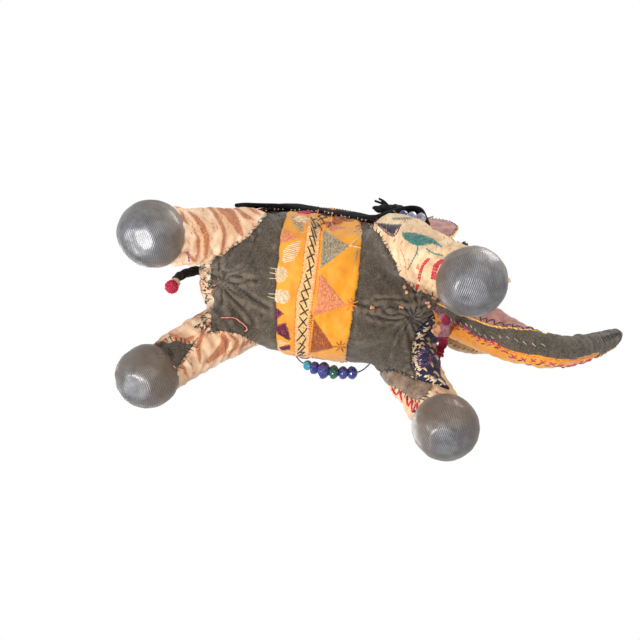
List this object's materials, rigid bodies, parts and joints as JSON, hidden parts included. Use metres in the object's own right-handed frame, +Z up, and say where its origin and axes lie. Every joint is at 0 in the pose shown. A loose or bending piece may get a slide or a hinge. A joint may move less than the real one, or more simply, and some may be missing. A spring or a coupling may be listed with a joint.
{
  "type": "stuffed patchwork elephant",
  "caption": "Stuffed patchwork cloth elephant with ribbed ball feet, gusseted belly, embroidered band, black saddle cloth, bead swags, flexing legs and trunk.",
  "frame": {"origin": "centre of the bounding box in plan, at the level of the four soles", "axes": "+X towards the head and trunk, +Y to the elephant's left, +Z up"},
  "size_m": [0.3824, 0.1638, 0.223],
  "materials": {
    "wadding": "loose cotton wadding",
    "charcoal_cotton": "coarse washed cotton",
    "marigold_silk": "satin silk",
    "rust_print": "printed cotton",
    "cream_print": "embroidered cotton",
    "black_cotton": "black cotton",
    "mauve_cotton": "plain cotton",
    "cream_cotton": "plain cotton",
    "silver_net": "shiny metallic ribbed net",
    "magenta_wool": "wool pompom",
    "black_bead": "glossy",
    "cyan_bead": "glossy",
    "indigo_bead": "glossy",
    "green_bead": "glossy",
    "grey_bead": "glossy"
  },
  "bodies": {
    "torso": {"torso_wadding": "wadding", "gusset_rear": "charcoal_cotton", "gusset_front": "charcoal_cotton", "belly_band": "marigold_silk", "side_cloth_right_rear": "rust_print", "side_cloth_left_rear": "rust_print", "side_cloth_right_front": "cream_print", "side_cloth_left_front": "cream_print", "back_cloth": "rust_print", "saddle_cloth": "black_cotton", "hem_points_left": "black_cotton", "hem_points_right": "black_cotton", "head_wadding": "wadding", "head_cloth_left": "marigold_silk", "head_cloth_right": "mauve_cotton", "eye_left": "black_bead", "eye_right": "black_bead", "tusk_left": "cream_cotton", "tusk_right": "cream_cotton", "mouth_lip": "cream_print"},
    "leg_right_hind": {"leg_sleeve_right_hind": "rust_print", "leg_wadding_right_hind": "wadding", "foot_cover_right_hind": "silver_net", "foot_wad_right_hind": "wadding"},
    "leg_left_hind": {"leg_sleeve_left_hind": "rust_print", "leg_wadding_left_hind": "wadding", "foot_cover_left_hind": "silver_net", "foot_wad_left_hind": "wadding"},
    "leg_right_front": {"leg_sleeve_right_front": "cream_print", "leg_wadding_right_front": "wadding", "foot_cover_right_front": "silver_net", "foot_wad_right_front": "wadding"},
    "leg_left_front": {"leg_sleeve_left_front": "cream_print", "leg_wadding_left_front": "wadding", "foot_cover_left_front": "silver_net", "foot_wad_left_front": "wadding"},
    "left_ear": {"ear_left": "mauve_cotton"},
    "right_ear": {"ear_right": "mauve_cotton"},
    "trunk": {"trunk_wadding": "wadding", "trunk_strip": "charcoal_cotton", "trunk_cloth_left": "marigold_silk", "trunk_cloth_right": "mauve_cotton"},
    "trunk_tip": {"trunk_tip_sleeve": "charcoal_cotton", "trunk_tip_wadding": "wadding"},
    "tail": {"tail_roll": "black_cotton", "tail_wrap": "cream_cotton", "tail_pompom": "magenta_wool"},
    "swag_left": {"thread_left": "black_cotton", "bead_left_1": "cyan_bead", "bead_left_2": "indigo_bead", "bead_left_3": "indigo_bead", "bead_left_4": "green_bead", "bead_left_5": "indigo_bead", "bead_left_6": "indigo_bead"},
    "swag_right": {"thread_right": "black_cotton", "bead_right_1": "indigo_bead", "bead_right_2": "grey_bead", "bead_right_3": "grey_bead"}
  },
  "joints": [
    {"name": "hip_right_hind", "type": "hinge", "parent": "torso", "child": "leg_right_hind", "pos_m": [-0.12066, -0.04044, 0.096], "axis": [0, 1, 0], "range_deg": [-8, 8], "stiffness_Nm_per_rad": 8},
    {"name": "hip_left_hind", "type": "hinge", "parent": "torso", "child": "leg_left_hind", "pos_m": [-0.12266, 0.03456, 0.096], "axis": [0, 1, 0], "range_deg": [-8, 8], "stiffness_Nm_per_rad": 8},
    {"name": "hip_right_front", "type": "hinge", "parent": "torso", "child": "leg_right_front", "pos_m": [0.01034, -0.05444, 0.096], "axis": [0, 1, 0], "range_deg": [-8, 8], "stiffness_Nm_per_rad": 8},
    {"name": "hip_left_front", "type": "hinge", "parent": "torso", "child": "leg_left_front", "pos_m": [0.03034, 0.04756, 0.096], "axis": [0, 1, 0], "range_deg": [-8, 8], "stiffness_Nm_per_rad": 8},
    {"name": "trunk_root", "type": "hinge", "parent": "torso", "child": "trunk", "pos_m": [0.05434, 0.00156, 0.15], "axis": [0, 1, 0], "range_deg": [-12, 5], "stiffness_Nm_per_rad": 1.5},
    {"name": "trunk_bend", "type": "hinge", "parent": "trunk", "child": "trunk_tip", "pos_m": [0.13334, 0.00156, 0.0645], "axis": [0, 1, 0], "range_deg": [-10, 12], "stiffness_Nm_per_rad": 0.25},
    {"name": "left_ear_flap", "type": "hinge", "parent": "torso", "child": "left_ear", "pos_m": [0.05034, 0.05456, 0.174], "axis": [0, 0, 1], "range_deg": [-30, 1], "stiffness_Nm_per_rad": 0.03},
    {"name": "right_ear_flap", "type": "hinge", "parent": "torso", "child": "right_ear", "pos_m": [0.05034, -0.05144, 0.174], "axis": [0, 0, 1], "range_deg": [-1, 30], "stiffness_Nm_per_rad": 0.03},
    {"name": "tail_swing", "type": "hinge", "parent": "torso", "child": "tail", "pos_m": [-0.16116, 0.00156, 0.128], "axis": [1, 0, 0], "range_deg": [-30, 30]},
    {"name": "swag_left_swing", "type": "hinge", "parent": "torso", "child": "swag_left", "pos_m": [-0.03866, 0.06796, 0.137], "axis": [1, 0, 0], "range_deg": [-3, 40]},
    {"name": "swag_right_swing", "type": "hinge", "parent": "torso", "child": "swag_right", "pos_m": [0.01034, -0.06444, 0.139], "axis": [1, 0, 0], "range_deg": [-40, 3]}
  ]
}
